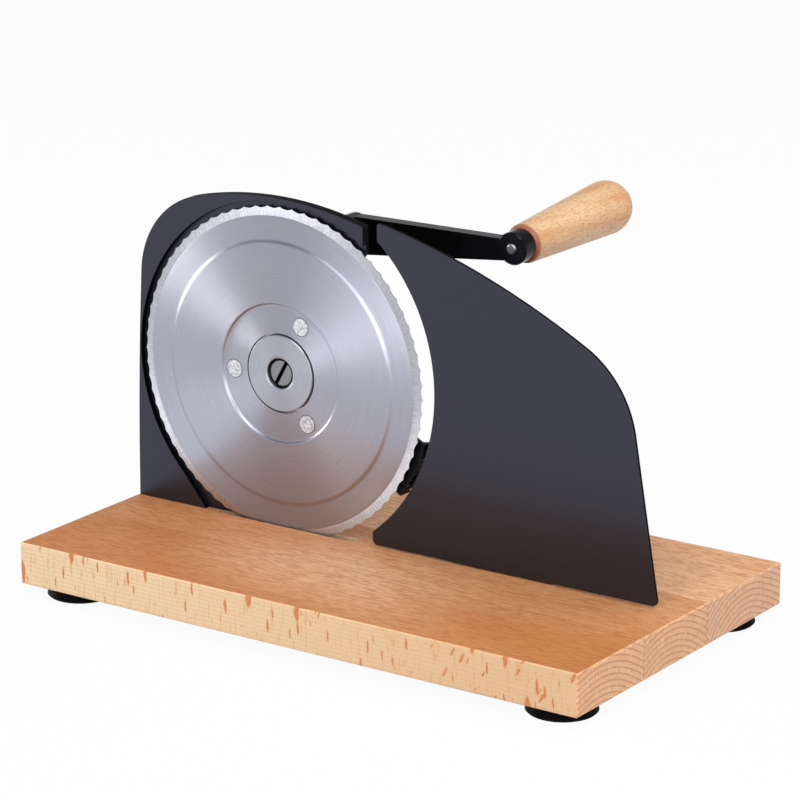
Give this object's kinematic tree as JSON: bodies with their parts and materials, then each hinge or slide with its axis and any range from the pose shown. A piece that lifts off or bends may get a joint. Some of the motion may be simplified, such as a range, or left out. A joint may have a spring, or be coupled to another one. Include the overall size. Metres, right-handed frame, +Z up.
{
  "type": "hand crank bread slicer",
  "caption": "Table bread slicer with a round serrated blade geared to a hand crank, a sliding fence that sets the slice thickness, and a wooden board on rubber feet.",
  "frame": {"origin": "on the table, under the middle of the slicer's box", "axes": "+X along the board from the frame plate to the fence, +Y from the board's front to its back and along the axles, +Z up"},
  "size_m": [0.365, 0.2756, 0.2209],
  "materials": {
    "beech": "oiled, fine pores and ray flecks",
    "rubber": "matte",
    "satin_black": "satin powder coat",
    "gloss_black": "gloss enamel",
    "black_plastic": "matte",
    "stainless": "brushed in circles",
    "steel": "plain",
    "brass": "plain"
  },
  "bodies": {
    "base": {"board": "beech", "foot_front_left": "rubber", "foot_front_right": "rubber", "foot_back_left": "rubber", "foot_back_right": "rubber", "foot_screws": "steel", "frame_plate": "satin_black", "gear_case": "satin_black", "case_screws": "steel", "flange_screws": "steel", "axle": "steel", "axle_nut": "steel", "retaining_disc": "stainless", "axle_screw": "steel", "crank_bushes": "brass", "slide_block": "satin_black", "rod_bushes": "brass", "slide_screws": "steel", "slide_cover": "satin_black", "cover_screws": "steel"},
    "blade": {"blade": "stainless", "blade_gear": "steel", "blade_bush": "brass", "blade_rivets": "steel"},
    "crank": {"crank_shaft": "steel", "crank_pinion": "steel", "pinion_pin": "steel", "crank_arm": "gloss_black", "arm_washer": "steel", "arm_screw": "steel", "handle_spindle": "steel", "handle_washer": "steel", "handle_screw": "steel"},
    "grip": {"handle": "beech"},
    "fence": {"fence_plate": "satin_black", "fence_carriage": "satin_black", "fence_nuts": "steel", "guide_rods": "steel", "rack": "steel", "slice_rest": "black_plastic"},
    "knob": {"thickness_knob": "black_plastic", "knob_shaft": "steel", "knob_pinion": "steel", "knob_screw": "steel"}
  },
  "joints": [
    {"name": "crank_turn", "type": "hinge", "parent": "base", "child": "crank", "pos_m": [-0.07502, -0.03177, 0.18882], "axis": [0, 1, 0], "continuous": true},
    {"name": "blade_spin", "type": "hinge", "parent": "base", "child": "blade", "pos_m": [-0.08, -0.03177, 0.121], "axis": [0, 1, 0], "continuous": true},
    {"name": "handle_spin", "type": "hinge", "parent": "crank", "child": "grip", "pos_m": [0.03469, 0.03173, 0.19687], "axis": [-0.0028, 0.9993, 0.0383], "continuous": true},
    {"name": "fence_slide", "type": "slide", "parent": "base", "child": "fence", "axis": [0, 1, 0], "range_m": [0, 0.018]},
    {"name": "knob_turn", "type": "hinge", "parent": "base", "child": "knob", "pos_m": [0.0695, 0.02223, 0.0693], "axis": [0, 0, -1], "range_deg": [0, 172]}
  ],
  "couplings": [
    {"joint": "blade_spin", "follows": "crank_turn", "ratio": -0.41667},
    {"joint": "knob_turn", "follows": "fence_slide", "rad_per_m": 166.67}
  ]
}
